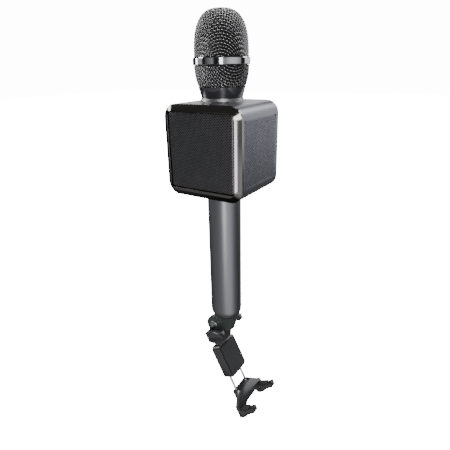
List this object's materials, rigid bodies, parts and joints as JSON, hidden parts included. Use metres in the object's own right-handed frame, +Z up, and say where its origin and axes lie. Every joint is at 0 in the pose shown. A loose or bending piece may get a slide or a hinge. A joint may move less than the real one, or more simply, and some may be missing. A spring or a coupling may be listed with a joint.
{
  "type": "karaoke microphone",
  "caption": "Hand-held wireless karaoke microphone: mesh head on a cube loudspeaker, slim metal handle, and a swivelling, tilting spring clamp for a phone at its foot.",
  "frame": {"origin": "middle of the handle's grip, on the handle's axis", "axes": "+Z up the handle's axis towards the mesh head, -Y the loudspeaker's front, +X its right-hand side seen by someone behind it"},
  "size_m": [0.0744, 0.0606, 0.3433],
  "materials": {
    "sleeve": "satin anodised",
    "side_mesh": "satin, perforated",
    "bezel": "polished dark",
    "front_mesh": "satin, perforated",
    "inner_plastic": "moulded",
    "basket_steel": "pressed",
    "magnet": "sintered",
    "copper": "enamelled wire",
    "cone_paper": null,
    "surround_rubber": "satin",
    "screw_steel": "plated",
    "panel_plastic": "fine texture",
    "board": "solder mask",
    "chip": "moulded",
    "socket_steel": "plated",
    "socket_plastic": "moulded",
    "lens": "frosted",
    "neck_metal": "satin anodised",
    "cradle_rubber": "matte",
    "capsule_metal": "turned",
    "collar_gloss": "polished",
    "wire_mesh": "woven wire",
    "band_chrome": "polished dark",
    "foam": "open-cell foam",
    "handle_metal": "satin anodised",
    "cell_wrap": "shrink wrap",
    "foot_plastic": "moulded",
    "clamp_plastic": "moulded",
    "pad_rubber": "matte",
    "rod_steel": "ground",
    "button": "moulded"
  },
  "bodies": {
    "root": {"aux_jack": "socket_plastic", "battery_carrier": "inner_plastic", "battery_cell": "cell_wrap", "battery_contacts": "socket_steel", "board_components": "chip", "board_standoffs": "inner_plastic", "button_switches": "chip", "capsule_cradle": "cradle_rubber", "driver_basket": "basket_steel", "driver_cone": "cone_paper", "driver_magnet": "magnet", "driver_screws": "screw_steel", "driver_surround": "surround_rubber", "dust_cap": "cone_paper", "flange_screws": "screw_steel", "front_baffle": "inner_plastic", "front_bezel": "bezel", "front_grille": "front_mesh", "handle_flange": "inner_plastic", "handle_tube": "handle_metal", "light_pipe": "lens", "main_board": "board", "mic_capsule": "capsule_metal", "neck_nut": "screw_steel", "neck_ring": "neck_metal", "rear_bezel": "bezel", "rear_panel": "panel_plastic", "rear_screws": "screw_steel", "side_grille_left": "side_mesh", "side_grille_right": "side_mesh", "speaker_sleeve": "sleeve", "usb_socket": "socket_steel", "voice_coil": "copper"},
    "grille_head": {"grille_collar": "collar_gloss", "grille_lower": "wire_mesh", "grille_band": "band_chrome", "grille_dome": "wire_mesh", "foam_liner": "foam"},
    "holder_swivel": {"end_plug": "foot_plastic", "hinge_pin": "screw_steel", "thumb_nut": "foot_plastic"},
    "holder_tilt": {"clamp_body": "clamp_plastic", "clamp_pad": "pad_rubber", "upper_jaw": "clamp_plastic", "upper_jaw_pads": "pad_rubber", "clamp_screws": "screw_steel", "clamp_springs": "rod_steel"},
    "sliding_jaw": {"lower_jaw": "clamp_plastic", "lower_jaw_pads": "pad_rubber", "guide_rods": "rod_steel"},
    "play_button": {"play_button": "button"},
    "previous_button": {"previous_button": "button"},
    "next_button": {"next_button": "button"},
    "volume_up_button": {"volume_up_button": "button"},
    "volume_down_button": {"volume_down_button": "button"},
    "power_button": {"power_button": "button"},
    "echo_button": {"echo_button": "button"}
  },
  "joints": [
    {"name": "head_lift", "type": "slide", "parent": "root", "child": "grille_head", "axis": [0, 0, 1], "range_m": [0, 0.06]},
    {"name": "play_press", "type": "slide", "parent": "root", "child": "play_button", "axis": [0, -1, 0], "range_m": [0, 0.0007], "stiffness_N_per_m": 600, "springref_m": -0.0008},
    {"name": "previous_press", "type": "slide", "parent": "root", "child": "previous_button", "axis": [0, -1, 0], "range_m": [0, 0.0007], "stiffness_N_per_m": 600, "springref_m": -0.0008},
    {"name": "next_press", "type": "slide", "parent": "root", "child": "next_button", "axis": [0, -1, 0], "range_m": [0, 0.0007], "stiffness_N_per_m": 600, "springref_m": -0.0008},
    {"name": "volume_up_press", "type": "slide", "parent": "root", "child": "volume_up_button", "axis": [0, -1, 0], "range_m": [0, 0.0007], "stiffness_N_per_m": 600, "springref_m": -0.0008},
    {"name": "volume_down_press", "type": "slide", "parent": "root", "child": "volume_down_button", "axis": [0, -1, 0], "range_m": [0, 0.0007], "stiffness_N_per_m": 600, "springref_m": -0.0008},
    {"name": "power_press", "type": "slide", "parent": "root", "child": "power_button", "axis": [0, -1, 0], "range_m": [0, 0.0007], "stiffness_N_per_m": 600, "springref_m": -0.0008},
    {"name": "echo_press", "type": "slide", "parent": "root", "child": "echo_button", "axis": [0, -1, 0], "range_m": [0, 0.0007], "stiffness_N_per_m": 600, "springref_m": -0.0008},
    {"name": "foot_swivel", "type": "hinge", "parent": "root", "child": "holder_swivel", "pos_m": [0, 0, -0.055], "axis": [0, 0, 1], "continuous": true},
    {"name": "clamp_tilt", "type": "hinge", "parent": "holder_swivel", "child": "holder_tilt", "pos_m": [-0.008, 0, -0.07], "axis": [0, -1, 0], "range_deg": [-60, 12]},
    {"name": "jaw_slide", "type": "slide", "parent": "holder_tilt", "child": "sliding_jaw", "axis": [0.4608, 0, -0.8875], "range_m": [-0.015, 0.014], "deforming": ["clamp_springs"]}
  ]
}
